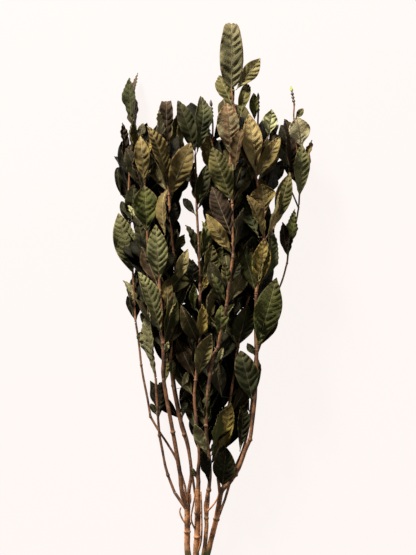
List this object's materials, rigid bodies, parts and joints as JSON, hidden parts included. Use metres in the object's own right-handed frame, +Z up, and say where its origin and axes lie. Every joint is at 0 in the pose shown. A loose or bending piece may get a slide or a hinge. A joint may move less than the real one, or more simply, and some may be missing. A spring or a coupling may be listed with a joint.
{
  "type": "preserved leaf stem",
  "caption": "Tall cut stem that forks into slender leafy branches, with dried, ribbed oval leaves in opposite pairs, lying down.",
  "frame": {"origin": "on the surface it lies on, under the middle of the whole stem", "axes": "+Y along the stem from its cut foot to its tips, +X across it, +Z up from the surface it lies on"},
  "size_m": [0.2514, 0.7012, 0.1067],
  "materials": {
    "bark": "dry brown bark, matte, with rings and dark specks",
    "leaves": "dried leaf, dull olive and khaki, ribbed, with a faint sheen"
  },
  "bodies": {
    "root": {"woody_stem": "bark", "far_left_branch": "leaves", "left_outer_branch": "leaves", "left_main_branch": "leaves", "left_inner_branch": "leaves", "middle_branch": "leaves", "middle_right_branch": "leaves", "inner_right_branch": "leaves", "right_main_branch": "leaves", "far_right_branch": "leaves", "back_left_branch": "leaves", "back_middle_branch": "leaves", "back_right_branch": "leaves"}
  },
  "joints": []
}
